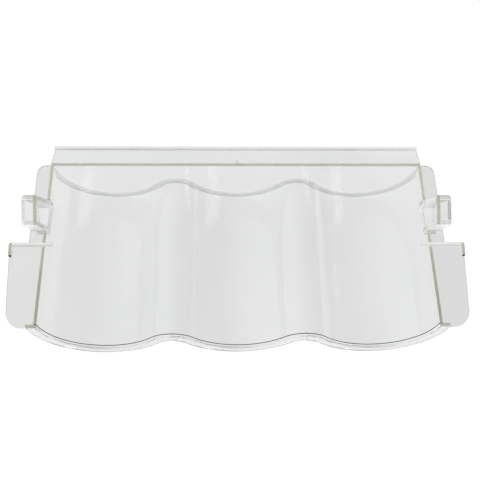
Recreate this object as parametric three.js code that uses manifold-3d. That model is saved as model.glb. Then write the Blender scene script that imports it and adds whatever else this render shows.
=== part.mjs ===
// Clear plastic sneeze guard. A sheet formed into three front-to-back troughs hangs
// between two rims, with a band across its front edge, a wall and a flange at its back,
// flat wings along both rims, and a raised hook in a small pocket on each side.
// Cut from clear sheet and bonded. Millimetres, +X right, +Y to the back, +Z up.
// Inside the group the rims lie at z = 0 and the band's front face at y = 0.
import * as THREE from 'three';
import { mergeVertices } from 'three/addons/utils/BufferGeometryUtils.js';
import Module from 'manifold-3d';

const wasm = await Module();
wasm.setup();

// ---------------------------------------------------------------- driving dimensions
const sheet = 4; // thickness of the panel, rear wall, flange, wings and small strips
const bond = 0.3; // space between two bonded faces

// Fluted panel, measured on its upper surface
const troughCount = 3;
const troughPitch = 183;
const troughRadius = 85;
const troughDepth = 74; // rim to trough bottom
const ridgeRadius = 39;
const guardDepth = 261; // front face of the band to back face of the rear wall

// Front band, and the lower outline that the rear wall shares with it
const bandThickness = 5;
const bandHeight = 14; // square to the panel's upper surface

// Rear flange and its raised lip
const flangeDepth = 27;
const flangeTaper = 3.5; // each end steps in by this much over the flange's depth
const flangeCorner = 2;
const lipHeight = 5;

// Wings: widths are measured outwards from the rim
const wingDrop = 1; // rim down to the wings' upper faces
const lowerWingLength = 126;
const lowerWingFrontWidth = 37;
const lowerWingRearWidth = 45;
const lowerWingFrontCorner = 24;
const neckWidth = 19;
const neckFillet = 5;
const upperWingCorner = 13;
const upperWingEndSpace = 3; // upper wing's back edge to the back of the rear wall

// Ribs on the lower wings
const ribHeight = 5;
const ribReachInside = 11; // inwards from the rim's inner face
const returnLength = 20; // short strip forward along the wing's outer edge
const wingRearCorner = 3.6; // shared by the wing and the strip that stands on its corner

// Hooks
const hookStart = 149; // from the front face of the band
const hookLength = 49;
const hookToe = THREE.MathUtils.degToRad(7); // the hooks lean outwards towards their rear
const hookRise = 13; // above the rim
const hookEndThickness = 7; // of the webs inside the upright and the blocks outside it
const hookCorner = 6; // outer corners, seen from above
const pocketDepth = 12; // rim down to the pocket floor
const uprightStandoff = 7.5; // rim to the upright, at the hook's front end
const uprightThickness = 4.5;
const hookSlot = 13.5; // clear width between the upright and the cap's leg
const capLegHeight = 11; // top of the cap down to the leg's lower edge
const capBend = 6; // outer radius of the cap's bend

const arcStep = THREE.MathUtils.degToRad(3);
const filletSteps = 6;
const samePoint = 1e-4; // points closer than this are one point

// ---------------------------------------------------------------- worked-out values
const troughCentreZ = troughRadius - troughDepth;
const ridgeDrop = Math.sqrt((troughRadius + ridgeRadius) ** 2 - (troughPitch / 2) ** 2);
const ridgeCentreZ = troughCentreZ - ridgeDrop;
const turnAngle = Math.atan2(troughPitch / 2, ridgeDrop); // where a trough meets a ridge
const lastTroughX = (troughPitch * (troughCount - 1)) / 2;
const wingTop = -wingDrop;
const wingBottom = wingTop - sheet;
const ribBottom = wingTop + bond;
const standHeight = troughDepth + bandHeight;
const panelStart = bandThickness + bond;
const rearWallStart = guardDepth - sheet;
const hookEnd = hookStart + hookLength;
const totalDepth = guardDepth + flangeDepth;

// Distance from the middle of the guard to the outer side of a profile at one height
function sideX(offset, z) {
  return lastTroughX + Math.sqrt((troughRadius + offset) ** 2 - (troughCentreZ - z) ** 2);
}
const rimInner = sideX(0, 0);
const rimOuter = sideX(sheet, 0);

// ---------------------------------------------------------------- materials
function clearPlastic(color, roughness) {
  return new THREE.MeshStandardMaterial({
    color, roughness, metalness: 0, transparent: true, opacity: 0.4,
  });
}
const panelMaterial = clearPlastic(0xdfe3e1, 0.06);
const wingMaterial = clearPlastic(0xd3d8d7, 0.08);
const edgeMaterial = clearPlastic(0xa9ae9c, 0.12);
const hookMaterial = clearPlastic(0xc9ccc6, 0.1);

// ---------------------------------------------------------------- outlines
function arcPoints(x, y, radius, start, end) {
  const steps = Math.max(1, Math.ceil(Math.abs(end - start) / arcStep));
  const arc = new THREE.EllipseCurve(x, y, radius, radius, start, end, end < start);
  return arc.getPoints(steps);
}

// One trough with its halves of the ridges on either side, left to right. An end bay's
// outer arc stops where sin(angle from the trough's lowest line) is outerSine.
function bayPoints(bay, offset, outerSine, ridgeGap = 0) {
  const x = bay * troughPitch - lastTroughX;
  const radius = troughRadius + offset;
  const ridge = ridgeRadius - offset;
  const gapAngle = Math.asin(ridgeGap / ridge);
  const down = -Math.PI / 2;
  const up = Math.PI / 2;
  const outer = Math.asin(outerSine);
  const isFirst = bay === 0;
  const isLast = bay === troughCount - 1;
  const points = [];
  if (!isFirst) {
    points.push(...arcPoints(x - troughPitch / 2, ridgeCentreZ, ridge,
      up - gapAngle, up - turnAngle));
  }
  points.push(...arcPoints(x, troughCentreZ, radius,
    down - (isFirst ? outer : turnAngle), down + (isLast ? outer : turnAngle)));
  if (!isLast) {
    points.push(...arcPoints(x + troughPitch / 2, ridgeCentreZ, ridge,
      up + turnAngle, up + gapAngle));
  }
  return points;
}

// The whole profile at an offset below the panel's upper surface, ending at x = +-limit
function profilePoints(offset, limit) {
  const outerSine = (limit - lastTroughX) / (troughRadius + offset);
  const points = [];
  for (let bay = 0; bay < troughCount; bay += 1) {
    points.push(...bayPoints(bay, offset, outerSine));
  }
  return points;
}

// Polygon from [x, y] or [x, y, corner radius] entries
function roundedOutline(corners) {
  const points = [];
  corners.forEach(([x, y, radius = 0], i) => {
    const corner = new THREE.Vector2(x, y);
    if (radius === 0) {
      points.push(corner);
      return;
    }
    const before = new THREE.Vector2(...corners.at(i - 1)).sub(corner).normalize();
    const after = new THREE.Vector2(...corners[(i + 1) % corners.length]).sub(corner).normalize();
    const half = Math.acos(THREE.MathUtils.clamp(before.dot(after), -1, 1)) / 2;
    const reach = radius / Math.tan(half);
    const centre = before.clone().add(after).normalize()
      .multiplyScalar(radius / Math.sin(half)).add(corner);
    const from = before.multiplyScalar(reach).add(corner).sub(centre);
    const to = after.multiplyScalar(reach).add(corner).sub(centre);
    const sweep = Math.atan2(from.cross(to), from.dot(to));
    for (let step = 0; step <= filletSteps; step += 1) {
      const turn = (sweep * step) / filletSteps;
      points.push(from.clone().rotateAround(new THREE.Vector2(), turn).add(centre));
    }
  });
  return points;
}

function mirrored(side, corners) {
  return corners.map(([x, ...rest]) => [side * x, ...rest]);
}

// Drops points that lie on top of the one before
function cleaned(points) {
  const isApart = (point, i) => point.distanceTo(points.at(i - 1)) > samePoint;
  return points.filter(isApart);
}

// ---------------------------------------------------------------- solids
function extruded(points, length) {
  const shape = new THREE.Shape(cleaned(points));
  return new THREE.ExtrudeGeometry(shape, { depth: length, bevelEnabled: false });
}

// Outline in x and z, running back from y = start
function runningBack(points, start, length) {
  return extruded(points, length).rotateX(Math.PI / 2).translate(0, start + length, 0);
}

function toSolid(geometry) {
  const bare = geometry.clone();
  bare.deleteAttribute('normal');
  bare.deleteAttribute('uv');
  const merged = mergeVertices(bare, samePoint);
  return new wasm.Manifold(new wasm.Mesh({
    numProp: 3,
    vertProperties: Float32Array.from(merged.attributes.position.array),
    triVerts: Uint32Array.from(merged.index.array),
  }));
}

function toGeometry(solid) {
  const mesh = solid.getMesh();
  const geometry = new THREE.BufferGeometry();
  geometry.setAttribute('position', new THREE.BufferAttribute(mesh.vertProperties, 3));
  geometry.setIndex(new THREE.BufferAttribute(mesh.triVerts, 1));
  const faceted = geometry.toNonIndexed();
  faceted.computeVertexNormals();
  return faceted;
}

function boxBetween(low, high) {
  const size = high.clone().sub(low);
  const middle = low.clone().add(high).multiplyScalar(0.5);
  return new THREE.BoxGeometry(size.x, size.y, size.z).translate(middle.x, middle.y, middle.z);
}

function addPart(group, name, geometry, material) {
  const mesh = new THREE.Mesh(geometry, material);
  mesh.name = name;
  group.add(mesh);
  return mesh;
}

// A flat plate cut to an outline in x and y, with its lower face at z
function addPlate(group, name, outline, thickness, z, material) {
  addPart(group, name, extruded(outline, thickness), material).position.z = z;
}

// ---------------------------------------------------------------- panel and cross pieces
// The panel's rims are notched where the hook pockets and the cross ribs pass them.
function rimNotch(side, start, end, depth) {
  const inside = side * (sideX(0, -pocketDepth) - sheet);
  const outside = side * (rimOuter + sheet);
  return toSolid(boxBetween(
    new THREE.Vector3(Math.min(inside, outside), start, -depth),
    new THREE.Vector3(Math.max(inside, outside), end, sheet),
  ));
}

function addPanel(group) {
  const outline = [
    ...profilePoints(0, rimInner),
    ...profilePoints(sheet, rimOuter).reverse(),
  ];
  let panel = toSolid(runningBack(outline, panelStart, rearWallStart - bond - panelStart));
  for (const side of [-1, 1]) {
    panel = panel.subtract(rimNotch(side, hookStart - bond, hookEnd + bond, pocketDepth));
    panel = panel.subtract(rimNotch(side, lowerWingLength - sheet - bond,
      lowerWingLength + bond, wingDrop));
  }
  addPart(group, 'fluted_panel', toGeometry(panel), panelMaterial);
}

function bandName(bay) {
  if (bay === 0) return 'front_band_left';
  if (bay === troughCount - 1) return 'front_band_right';
  return troughCount === 3 ? 'front_band_centre' : `front_band_centre_${bay}`;
}

function addFrontBand(group) {
  for (let bay = 0; bay < troughCount; bay += 1) {
    const upperSine = (rimInner - lastTroughX) / troughRadius;
    const lowerSine = (sideX(bandHeight, 0) - lastTroughX) / (troughRadius + bandHeight);
    const outline = [
      ...bayPoints(bay, 0, upperSine, bond / 2),
      ...bayPoints(bay, bandHeight, lowerSine, bond / 2).reverse(),
    ];
    addPart(group, bandName(bay), runningBack(outline, 0, bandThickness), edgeMaterial);
  }
}

function addRearWall(group) {
  const outline = [
    new THREE.Vector2(rimOuter, 0),
    new THREE.Vector2(-rimOuter, 0),
    ...profilePoints(bandHeight, rimOuter),
  ];
  addPart(group, 'rear_wall', runningBack(outline, rearWallStart, sheet), panelMaterial);
}

// Half the flange's width, which narrows towards the back
function flangeReach(y) {
  return rimOuter - THREE.MathUtils.mapLinear(y, guardDepth, totalDepth, 0, flangeTaper);
}

// Outline of the flange from y = front to its back edge
function flangeOutline(front) {
  const frontReach = flangeReach(front);
  const backReach = flangeReach(totalDepth);
  return roundedOutline([
    [-frontReach, front],
    [frontReach, front],
    [backReach, totalDepth, flangeCorner],
    [-backReach, totalDepth, flangeCorner],
  ]);
}

function addRearFlange(group) {
  const outline = flangeOutline(guardDepth + bond);
  addPlate(group, 'rear_flange', outline, sheet, wingBottom, wingMaterial);
}

function addRearLip(group) {
  const outline = flangeOutline(totalDepth - sheet);
  addPlate(group, 'rear_lip', outline, lipHeight, ribBottom, edgeMaterial);
}

// ---------------------------------------------------------------- wings and ribs
// Width of the lower wing, out from the rim, at a distance behind the front edge
function lowerWingWidth(y) {
  return THREE.MathUtils.mapLinear(y, 0, lowerWingLength, lowerWingFrontWidth, lowerWingRearWidth);
}

function addLowerWing(group, side, label) {
  const inner = rimOuter + bond;
  const bandSide = sideX(bandHeight, 0) + bond;
  const neck = rimOuter + neckWidth;
  const end = hookStart - bond;
  const outline = roundedOutline(mirrored(side, [
    [bandSide, 0],
    [rimOuter + lowerWingFrontWidth, 0, lowerWingFrontCorner],
    [rimOuter + lowerWingRearWidth, lowerWingLength, wingRearCorner],
    [neck, lowerWingLength, neckFillet],
    [neck, end],
    [inner, end],
    [inner, panelStart],
    [bandSide, panelStart],
  ]));
  addPlate(group, `lower_wing_${label}`, outline, sheet, wingBottom, wingMaterial);
}

function addUpperWing(group, side, label) {
  const inner = rimOuter + bond;
  const outer = rimOuter + neckWidth;
  const start = hookEnd + bond;
  const end = guardDepth - upperWingEndSpace;
  const outline = roundedOutline(mirrored(side, [
    [inner, start],
    [outer, start],
    [outer, end, upperWingCorner],
    [inner, end],
  ]));
  addPlate(group, `upper_wing_${label}`, outline, sheet, wingBottom, wingMaterial);
}

// Stands on the lower wing's back edge and crosses the rim through its notch
function addCrossRib(group, side, label) {
  const front = lowerWingLength - sheet;
  const outer = rimOuter + lowerWingWidth(front) - sheet - bond;
  const inner = rimInner - ribReachInside;
  const outline = roundedOutline(mirrored(side, [
    [inner, front],
    [outer, front],
    [outer, lowerWingLength],
    [inner, lowerWingLength],
  ]));
  addPlate(group, `cross_rib_${label}`, outline, ribHeight, ribBottom, edgeMaterial);
}

// Closes the rib's outer end and turns forward along the wing's outer edge
function addCornerReturn(group, side, label) {
  const front = lowerWingLength - returnLength;
  const frontOuter = rimOuter + lowerWingWidth(front);
  const rearOuter = rimOuter + lowerWingRearWidth;
  const outline = roundedOutline(mirrored(side, [
    [frontOuter - sheet, front],
    [frontOuter, front],
    [rearOuter, lowerWingLength, wingRearCorner],
    [rearOuter - sheet, lowerWingLength],
  ]));
  addPlate(group, `corner_return_${label}`, outline, ribHeight, ribBottom, edgeMaterial);
}

// ---------------------------------------------------------------- hooks
// Each hook is drawn from x = 0 at the rim's outer face and y = 0 at its front end.
const toeSlope = Math.tan(hookToe);
const uprightInner = uprightStandoff;
const uprightOuter = uprightInner + uprightThickness;
const floorTop = -pocketDepth;
const capInner = uprightOuter + bond;
const capBottom = hookRise - sheet;
const legInner = uprightOuter + hookSlot;
const legOuter = legInner + sheet;

// Slants a shape drawn for the hook's front end, so that it moves outwards towards the rear
function toedOut(geometry, side) {
  const shear = new THREE.Matrix4().makeShear(0, 0, side * toeSlope, 0, 0, 0);
  return geometry.applyMatrix4(shear);
}

// Upright slab from x = inner to x = outer over the hook's whole length, toed out
function toedSlab(side, inner, outer, bottom, top) {
  const slab = boxBetween(
    new THREE.Vector3(Math.min(side * inner, side * outer), 0, bottom),
    new THREE.Vector3(Math.max(side * inner, side * outer), hookLength, top),
  );
  return toedOut(slab, side);
}

function addHookFloor(group, side, label) {
  const inner = sideX(sheet, floorTop) - rimOuter + bond;
  const outline = roundedOutline(mirrored(side, [
    [inner, 0],
    [uprightOuter, 0],
    [uprightOuter + toeSlope * hookLength, hookLength],
    [inner, hookLength],
  ]));
  addPlate(group, `hook_floor_${label}`, outline, sheet, floorTop - sheet, hookMaterial);
}

function addHookUpright(group, side, label) {
  const slab = toedSlab(side, uprightInner, uprightOuter, floorTop + bond, hookRise);
  addPart(group, `hook_upright_${label}`, slab, edgeMaterial);
}

// Webs close the pocket's ends and rise from the rim to the top of the upright
function addHookWeb(group, side, label, end, start) {
  const bottom = floorTop + bond;
  const outer = uprightInner + toeSlope * (start + hookEndThickness);
  const outline = roundedOutline(mirrored(side, [
    [sideX(0, bottom) - rimOuter, bottom],
    [outer, bottom],
    [outer, hookRise - wingDrop],
    [0, 0],
    [rimInner - rimOuter, 0],
  ]));
  const web = toSolid(runningBack(outline, start, hookEndThickness));
  const uprightSpace = toSolid(toedSlab(side, uprightInner - bond, uprightOuter,
    floorTop - sheet, hookRise + sheet));
  addPart(group, `hook_web_${end}_${label}`, toGeometry(web.subtract(uprightSpace)),
    hookMaterial);
}

// One bent strip between the end blocks: a top bonded to the upright and a leg outside it
function addHookCap(group, side, label) {
  const legBottom = hookRise - capLegHeight;
  const bent = roundedOutline(mirrored(side, [
    [capInner, capBottom],
    [legInner, capBottom, capBend - sheet],
    [legInner, legBottom],
    [legOuter, legBottom],
    [legOuter, hookRise, capBend],
    [capInner, hookRise],
  ]));
  const start = hookEndThickness + bond;
  const strip = runningBack(bent, start, hookLength - 2 * start);
  addPart(group, `hook_cap_${label}`, toedOut(strip, side), hookMaterial);
}

// Blocks close the cap's two ends and brace them down to the wings' outer edges
function addHookBlock(group, side, label, end, start) {
  const wingEdge = neckWidth - toeSlope * start;
  const outline = roundedOutline(mirrored(side, [
    [capInner, wingBottom],
    [wingEdge, wingBottom],
    [wingEdge, wingTop],
    [legOuter - hookCorner, hookRise - capBend],
    [legOuter, hookRise - capBend],
    [legOuter, hookRise, capBend],
    [capInner, hookRise],
  ]));
  const rear = toeSlope * hookLength;
  const seenFromAbove = roundedOutline(mirrored(side, [
    [0, 0],
    [legOuter, 0, hookCorner],
    [legOuter + rear, hookLength, hookCorner],
    [0, hookLength],
  ]));
  const block = toSolid(toedOut(runningBack(outline, start, hookEndThickness), side));
  const column = extruded(seenFromAbove, 2 * hookRise).translate(0, 0, wingBottom - sheet);
  addPart(group, `hook_block_${end}_${label}`, toGeometry(block.intersect(toSolid(column))),
    hookMaterial);
}

function addHook(group, side, label) {
  const hook = new THREE.Group();
  hook.position.set(side * rimOuter, hookStart, 0);
  group.add(hook);
  addHookFloor(hook, side, label);
  addHookUpright(hook, side, label);
  addHookCap(hook, side, label);
  for (const [end, start] of [['front', 0], ['rear', hookLength - hookEndThickness]]) {
    addHookWeb(hook, side, label, end, start);
    addHookBlock(hook, side, label, end, start);
  }
}

// ---------------------------------------------------------------- assembly
const sneezeGuard = new THREE.Group();
sneezeGuard.position.set(0, -totalDepth / 2, standHeight);
addPanel(sneezeGuard);
addFrontBand(sneezeGuard);
addRearWall(sneezeGuard);
addRearFlange(sneezeGuard);
addRearLip(sneezeGuard);
for (const [side, label] of [[-1, 'left'], [1, 'right']]) {
  addLowerWing(sneezeGuard, side, label);
  addUpperWing(sneezeGuard, side, label);
  addCrossRib(sneezeGuard, side, label);
  addCornerReturn(sneezeGuard, side, label);
  addHook(sneezeGuard, side, label);
}

export default sneezeGuard;
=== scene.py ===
import math

import bmesh
import bpy
from mathutils import Matrix, Vector


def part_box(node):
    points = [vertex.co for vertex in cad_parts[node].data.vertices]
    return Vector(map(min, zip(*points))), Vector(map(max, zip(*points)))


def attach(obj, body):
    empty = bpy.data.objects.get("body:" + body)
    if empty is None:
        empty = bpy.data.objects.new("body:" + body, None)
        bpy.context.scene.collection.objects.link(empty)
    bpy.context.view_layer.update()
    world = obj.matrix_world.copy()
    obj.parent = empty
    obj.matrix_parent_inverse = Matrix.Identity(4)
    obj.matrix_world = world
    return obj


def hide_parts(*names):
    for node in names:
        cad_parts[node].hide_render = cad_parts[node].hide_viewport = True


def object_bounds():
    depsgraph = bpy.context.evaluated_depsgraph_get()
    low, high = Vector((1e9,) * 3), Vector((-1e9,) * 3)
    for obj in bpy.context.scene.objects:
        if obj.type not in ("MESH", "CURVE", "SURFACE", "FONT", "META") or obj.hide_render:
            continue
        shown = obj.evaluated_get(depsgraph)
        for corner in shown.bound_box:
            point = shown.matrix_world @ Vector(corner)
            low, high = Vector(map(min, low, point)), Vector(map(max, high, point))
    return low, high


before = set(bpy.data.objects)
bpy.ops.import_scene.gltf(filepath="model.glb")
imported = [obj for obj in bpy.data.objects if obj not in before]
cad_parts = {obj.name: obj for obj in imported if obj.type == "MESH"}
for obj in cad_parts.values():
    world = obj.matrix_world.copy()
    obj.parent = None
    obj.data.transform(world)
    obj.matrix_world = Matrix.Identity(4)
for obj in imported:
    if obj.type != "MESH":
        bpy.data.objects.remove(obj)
cad_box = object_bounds()
MM = 0.001

# ------------------------------------------------------------------ places taken from the frame
panel_low, panel_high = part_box("fluted_panel")
wall_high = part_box("rear_wall")[1]
RIM_Z = panel_high.z
RIM_X = panel_high.x
PANEL_FRONT = panel_low.y


# ------------------------------------------------------------------ camera
SENSOR = 36


def add_camera(elevation, azimuth, roll, distance, focal_length, target):
    tilt = math.radians(elevation)
    turn = math.radians(azimuth)
    lean = math.radians(roll)
    back = Vector((math.sin(turn) * math.cos(tilt), -math.cos(turn) * math.cos(tilt), math.sin(tilt)))
    right = (-back).cross(Vector((0, 0, 1))).normalized()
    up = back.cross(right)
    leaned_right = right * math.cos(lean) + up * math.sin(lean)
    leaned_up = up * math.cos(lean) - right * math.sin(lean)
    camera = bpy.data.objects.new("camera", bpy.data.cameras.new("camera"))
    axes = Matrix((leaned_right, leaned_up, back)).transposed()
    camera.matrix_world = Matrix.Translation(target + back * distance) @ axes.to_4x4()
    camera.data.sensor_width = SENSOR
    camera.data.lens = focal_length
    camera.data.clip_end = 50
    bpy.context.scene.collection.objects.link(camera)
    bpy.context.scene.camera = camera


add_camera(
    elevation=61.5,
    azimuth=-3.3,
    roll=2.8,
    distance=1.154,
    focal_length=59.9,
    target=Vector((2.4 * MM, PANEL_FRONT + 110.6 * MM, RIM_Z)),
)


# ------------------------------------------------------------------ stage and light
FLOOR_SIZE = 12
FLOOR_GAP = 0.4 * MM
FLOOR_GREY = 0.2
FLOOR_GLOW = 0.93


def add_floor():
    """A floor that glows, so that it stays plain white beside and under the clear sheet."""
    bpy.ops.mesh.primitive_plane_add(size=FLOOR_SIZE, location=(0, 0, cad_box[0][2] - FLOOR_GAP))
    floor = bpy.context.active_object
    floor.name = "floor"
    material = bpy.data.materials.new("white_floor")
    material.use_nodes = True
    shader = material.node_tree.nodes["Principled BSDF"]
    shader.inputs["Base Color"].default_value = (FLOOR_GREY, FLOOR_GREY, FLOOR_GREY, 1)
    shader.inputs["Roughness"].default_value = 1
    shader.inputs["Specular IOR Level"].default_value = 0
    shader.inputs["Emission Color"].default_value = (1, 1, 1, 1)
    shader.inputs["Emission Strength"].default_value = FLOOR_GLOW
    floor.data.materials.append(material)


def add_room(left, right):
    """A soft white room all round, whose brightness falls from its left side to its right."""
    world = bpy.data.worlds.new("room")
    world.use_nodes = True
    tree = world.node_tree
    place = tree.nodes.new("ShaderNodeTexCoord")
    across = tree.nodes.new("ShaderNodeSeparateXYZ")
    ramp = tree.nodes.new("ShaderNodeMapRange")
    ramp.inputs["From Min"].default_value = -0.5
    ramp.inputs["From Max"].default_value = 0.5
    ramp.inputs["To Min"].default_value = left
    ramp.inputs["To Max"].default_value = right
    background = tree.nodes["Background"]
    background.inputs["Color"].default_value = (0.96, 0.98, 1, 1)
    tree.links.new(place.outputs["Generated"], across.inputs["Vector"])
    tree.links.new(across.outputs["X"], ramp.inputs["Value"])
    tree.links.new(ramp.outputs["Result"], background.inputs["Strength"])
    bpy.context.scene.world = world


def add_softbox(name, location, aim, size, power):
    light = bpy.data.lights.new(name, "AREA")
    light.shape = "RECTANGLE"
    light.size, light.size_y = size
    light.energy = power
    lamp = bpy.data.objects.new(name, light)
    lamp.location = location
    lamp.rotation_euler = (Vector(aim) - Vector(location)).to_track_quat("-Z", "Y").to_euler()
    bpy.context.scene.collection.objects.link(lamp)


add_floor()
add_room(left=0.98, right=0.05)
add_softbox("front_right_softbox", location=(1.6, -1.4, 1.5), aim=(0, 0, 0), size=(0.9, 0.9), power=14)
bpy.context.scene.view_settings.view_transform = "Standard"

# Light that enters a sheet's edge is reflected many times inside it before it leaves.
INSIDE_BOUNCES = 32
light_paths = bpy.context.scene.cycles
light_paths.max_bounces = INSIDE_BOUNCES
light_paths.glossy_bounces = INSIDE_BOUNCES
light_paths.transmission_bounces = INSIDE_BOUNCES


# ------------------------------------------------------------------ materials
class Nodes:
    """Short forms for building one material's node tree."""

    def __init__(self, name):
        self.material = bpy.data.materials.new(name)
        self.material.use_nodes = True
        self.tree = self.material.node_tree
        self.shader = self.tree.nodes["Principled BSDF"]

    def add(self, kind, **inputs):
        node = self.tree.nodes.new(kind)
        for label, value in inputs.items():
            node.inputs[label.replace("_", " ")].default_value = value
        return node

    def link(self, output, target):
        self.tree.links.new(output, target)

    def noise(self, scale, stretch=(1, 1, 1), detail=3.0):
        """Noise in object space; stretch above 1 makes its spots shorter along that axis."""
        place = self.add("ShaderNodeTexCoord")
        mapping = self.add("ShaderNodeMapping", Scale=stretch)
        noise = self.add("ShaderNodeTexNoise", Scale=scale, Detail=detail)
        self.link(place.outputs["Object"], mapping.inputs["Vector"])
        self.link(mapping.outputs["Vector"], noise.inputs["Vector"])
        return noise.outputs["Fac"]

    def ramp(self, source, low, high, low_value, high_value):
        """Maps source from low..high to low_value..high_value, each a number or a colour."""
        node = self.tree.nodes.new("ShaderNodeValToRGB")
        node.color_ramp.elements[0].position = low
        node.color_ramp.elements[1].position = high
        for element, value in zip(node.color_ramp.elements, (low_value, high_value)):
            element.color = (*value, 1) if isinstance(value, tuple) else (value, value, value, 1)
        self.link(source, node.inputs["Fac"])
        return node.outputs["Color"]

    def bump(self, height, strength, distance):
        node = self.add("ShaderNodeBump", Strength=strength, Distance=distance)
        self.link(height, node.inputs["Height"])
        self.link(node.outputs["Normal"], self.shader.inputs["Normal"])

    def put(self, **inputs):
        for label, value in inputs.items():
            self.shader.inputs[label.replace("_", " ")].default_value = value


ACRYLIC_IOR = 1.49


def clear_sheet(name, dark, light, roughness):
    """Clear plastic with faint drawn lines along the flutes, haze in patches and fine scuffs."""
    m = Nodes(name)
    m.put(IOR=ACRYLIC_IOR, Transmission_Weight=1)
    cloud = m.noise(9, (1, 0.45, 1))
    m.link(m.ramp(cloud, 0.35, 0.65, dark, light), m.shader.inputs["Base Color"])
    haze = m.noise(14, (1.4, 0.3, 1), 5)
    m.link(m.ramp(haze, 0.4, 0.75, roughness, roughness * 3), m.shader.inputs["Roughness"])
    m.bump(m.noise(60, (1, 0.06, 1)), 0.04, 0.2 * MM)
    return m.material


def cut_edge(name, dark, light, clearness, roughness, glow=0.0):
    """An edge in the sheet's tint. Its glow stands in for light that the sheet carries to it."""
    m = Nodes(name)
    m.put(IOR=ACRYLIC_IOR, Transmission_Weight=clearness)
    streak = m.noise(45, (1, 1, 1))
    m.link(m.ramp(streak, 0.3, 0.7, dark, light), m.shader.inputs["Base Color"])
    m.put(Emission_Color=(*light, 1), Emission_Strength=glow)
    m.link(m.ramp(m.noise(160), 0.3, 0.7, roughness, roughness * 1.8), m.shader.inputs["Roughness"])
    m.bump(m.noise(500, (1, 0.3, 1)), 0.12, 0.05 * MM)
    return m.material


panel_face = clear_sheet("clear_panel_face", (0.768, 0.778, 0.771), (0.788, 0.793, 0.79), 0.02)
wing_face = clear_sheet("clear_wing_face", (0.71, 0.72, 0.712), (0.73, 0.735, 0.73), 0.03)
olive_edge = cut_edge("olive_cut_edge", (0.71, 0.71, 0.56), (0.81, 0.80, 0.66), 0.3, 0.25)
# Pale cut edges with a faint glow: painted light in place of the light the sheet carries into them, so
# they don't turn dark.
pale_painted_light_edge = cut_edge("pale_cut_edge_painted_light", (0.80, 0.81, 0.76), (0.90, 0.91, 0.87), 0.1, 0.2, 0.15)
# Near-white glowing faces at bonds between pieces: painted light, standing for the bright lines and
# glints along those bonds.
bonded_painted_light = cut_edge("bonded_painted_light", (0.90, 0.90, 0.89), (0.97, 0.97, 0.96), 0.05, 0.3, 0.22)
# Near-white faces at the panel's joint with the rear wall, glowing strongly: painted light, a light
# line with painted glints along the joint.
joint_painted_light = cut_edge("joint_painted_light", (0.90, 0.91, 0.90), (0.97, 0.98, 0.97), 0.05, 0.4, 0.5)
# Beige cut edge: the edge's own colour, with a faint painted glow on it.
beige_painted_light_edge = cut_edge("beige_cut_edge_painted_light", (0.82, 0.76, 0.68), (0.93, 0.89, 0.82), 0.1, 0.2, 0.08)
dark_edge = cut_edge("dark_cut_edge", (0.015, 0.02, 0.02), (0.03, 0.035, 0.04), 0.05, 0.6)


# ------------------------------------------------------------------ pieces
# How much of a face's normal lies along an axis.
FLAT_ON = 0.95
SQUARELY = 0.9
MOSTLY = 0.7
HALF = 0.5
PARTLY = 0.3
BARELY = 0.2

WING_NODES = ("lower_wing", "upper_wing")
EDGES = (olive_edge, pale_painted_light_edge, bonded_painted_light, joint_painted_light, beige_painted_light_edge, dark_edge)
FACE, OLIVE, PALE_PAINTED_LIGHT, BONDED_PAINTED_LIGHT, JOINT_PAINTED_LIGHT, BEIGE_PAINTED_LIGHT, DARK = range(7)


# Every sharp edge is rounded by a small bevel, and those at a visible joint by a wider one.
EDGE_BEVEL = 0.4 * MM
JOINT_BEVEL = 1.1 * MM
JOINT_NODES = ("front_band", "hook_cap")
SAME_POINT = 1e-6
COPLANAR = math.radians(0.5)
SHARP = math.radians(25)
SQUARE_EDGE = math.radians(50)
RIM_EDGE = 1 * MM


def is_free(node, edge):
    """False for an edge that a bonded joint hides, which stays square."""
    if node == "fluted_panel":
        return all(face.normal.y < SQUARELY for face in edge.link_faces)
    if node == "rear_wall":
        return all(v.co.z > RIM_Z - RIM_EDGE for v in edge.verts)
    return True


def refined(node, bevel):
    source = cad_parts[node]
    mesh = bmesh.new()
    mesh.from_mesh(source.data)
    bmesh.ops.remove_doubles(mesh, verts=mesh.verts, dist=SAME_POINT)
    bmesh.ops.dissolve_limit(mesh, angle_limit=COPLANAR, verts=mesh.verts, edges=mesh.edges)
    sharp = [e for e in mesh.edges if e.calc_face_angle() > SHARP and is_free(node, e)]
    bmesh.ops.bevel(
        mesh, geom=sharp, offset=bevel, segments=3, profile=0.5, clamp_overlap=True, affect="EDGES"
    )
    for edge in mesh.edges:
        edge.smooth = edge.calc_face_angle() < SQUARE_EDGE
    data = bpy.data.meshes.new(node + "_look")
    mesh.to_mesh(data)
    mesh.free()
    piece = bpy.data.objects.new(node + "_look", data)
    bpy.context.scene.collection.objects.link(piece)
    for material in (wing_face if node.startswith(WING_NODES) else panel_face, *EDGES):
        data.materials.append(material)
    weigh = piece.modifiers.new("flat_faces", "WEIGHTED_NORMAL")
    weigh.keep_sharp = True
    weigh.weight = 100
    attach(piece, "root")
    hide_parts(node)
    return piece


def outwards(p):
    """How far a face looks away from the guard's middle, from -1 to 1."""
    return p.normal.x * math.copysign(1, p.center.x)


RIM_BAND = 2 * MM
NOTCH_WIDTH = 12 * MM


def is_rim_top(p):
    return p.normal.z > MOSTLY and p.center.z > RIM_Z - RIM_BAND


def panel_kind(p):
    if is_rim_top(p):
        return OLIVE
    # Panel tops beside the rim notches are painted light in the near-white bonded finish.
    if p.normal.z > MOSTLY and abs(p.center.x) > RIM_X - NOTCH_WIDTH:
        return BONDED_PAINTED_LIGHT
    # The panel's rear end face, against the rear wall, carries the joint's painted light line.
    if p.normal.y > SQUARELY:
        return JOINT_PAINTED_LIGHT
    return DARK if p.normal.y < -PARTLY else FACE


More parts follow.
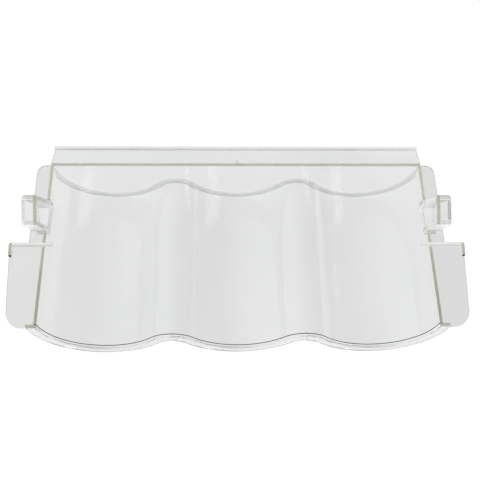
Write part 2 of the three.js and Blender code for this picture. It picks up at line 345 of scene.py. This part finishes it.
def wall_kind(p):
    if is_rim_top(p):
        return OLIVE
    # The wall's underside along the same joint carries the same painted light line.
    if p.normal.z < -PARTLY:
        return JOINT_PAINTED_LIGHT
    return PALE_PAINTED_LIGHT if abs(p.normal.x) > SQUARELY else FACE


def band_kind(p):
    if is_rim_top(p):
        return OLIVE
    if PARTLY < p.normal.y < FLAT_ON and p.normal.z > 0:
        return DARK
    # The band's seam faces at the ridges show painted glints in the near-white bonded finish.
    return BONDED_PAINTED_LIGHT if abs(p.normal.x) > FLAT_ON else FACE


def plate_kind(p):
    is_edge = abs(p.normal.z) < MOSTLY
    return PALE_PAINTED_LIGHT if is_edge and (outwards(p) > HALF or abs(p.normal.y) > MOSTLY) else FACE


def flange_kind(p):
    return PALE_PAINTED_LIGHT if abs(p.normal.x) > MOSTLY else FACE


def strip_kind(p):
    # A strip's top face is painted light in the near-white bonded finish.
    if p.normal.z > FLAT_ON:
        return BONDED_PAINTED_LIGHT
    return PALE_PAINTED_LIGHT if p.normal.z > BARELY or abs(p.normal.z) < BARELY else FACE


def block_kind(p):
    if p.normal.z > PARTLY:
        return PALE_PAINTED_LIGHT
    # Front and back faces of a block are painted light in the near-white bonded finish.
    return BONDED_PAINTED_LIGHT if abs(p.normal.y) > MOSTLY else FACE


def rear_block_kind(p):
    # The rear block's top is its beige cut edge, with the faint painted glow.
    return BEIGE_PAINTED_LIGHT if p.normal.z > PARTLY else block_kind(p)


def upright_kind(p):
    if p.normal.z > MOSTLY:
        return OLIVE
    # Faces of the upright that look forwards or backwards are painted light in the near-white bonded
    # finish.
    return BONDED_PAINTED_LIGHT if abs(p.normal.y) > PARTLY else FACE


def cap_kind(p):
    # The cap's rear face at its bond is painted light, a white line of painted glint.
    if p.normal.y > PARTLY:
        return BONDED_PAINTED_LIGHT
    return PALE_PAINTED_LIGHT if p.normal.y < -PARTLY else FACE


def return_kind(p):
    if p.normal.y < -PARTLY:
        return DARK
    return OLIVE if p.normal.z > PARTLY else PALE_PAINTED_LIGHT


# What a face of a piece is made of depends on the piece and on where the face looks. The pale, beige,
# bonded and joint finishes glow, and that glow is painted light.
KINDS = {
    "fluted_panel": panel_kind,
    "rear_wall": wall_kind,
    "front_band": band_kind,
    "hook_upright": upright_kind,
    "hook_cap": cap_kind,
    "hook_block_rear": rear_block_kind,
    "hook_block_front": block_kind,
    "hook_web": block_kind,
    "corner_return": return_kind,
    "cross_rib": strip_kind,
    "rear_lip": strip_kind,
    "rear_flange": flange_kind,
}


def kind_of(node, p):
    for start, kind in KINDS.items():
        if node.startswith(start):
            return kind(p)
    return plate_kind(p)


for node in sorted(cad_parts):
    piece = refined(node, JOINT_BEVEL if node.startswith(JOINT_NODES) else EDGE_BEVEL)
    for p in piece.data.polygons:
        p.material_index = kind_of(node, p)


MARK_GAP = 0.05 * MM


# A small round mark on the flange, against the middle of the rear wall, in the pale edge finish whose
# glow is painted light.
def add_gate_mark(radius, height):
    mesh = bmesh.new()
    bmesh.ops.create_cone(
        mesh, segments=32, radius1=radius, radius2=radius * 0.8, depth=height, cap_ends=True
    )
    rim = [e for e in mesh.edges if e.calc_face_angle() > SHARP]
    bmesh.ops.bevel(mesh, geom=rim, offset=height * 0.3, segments=2, profile=0.5, affect="EDGES")
    data = bpy.data.meshes.new("gate_mark")
    mesh.to_mesh(data)
    mesh.free()
    data.materials.append(pale_painted_light_edge)
    data.shade_smooth()
    mark = bpy.data.objects.new("gate_mark", data)
    flange_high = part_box("rear_flange")[1]
    mark.location = (0, wall_high.y + radius, flange_high.z + height / 2 + MARK_GAP)
    bpy.context.scene.collection.objects.link(mark)
    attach(mark, "root")


add_gate_mark(radius=3 * MM, height=0.8 * MM)
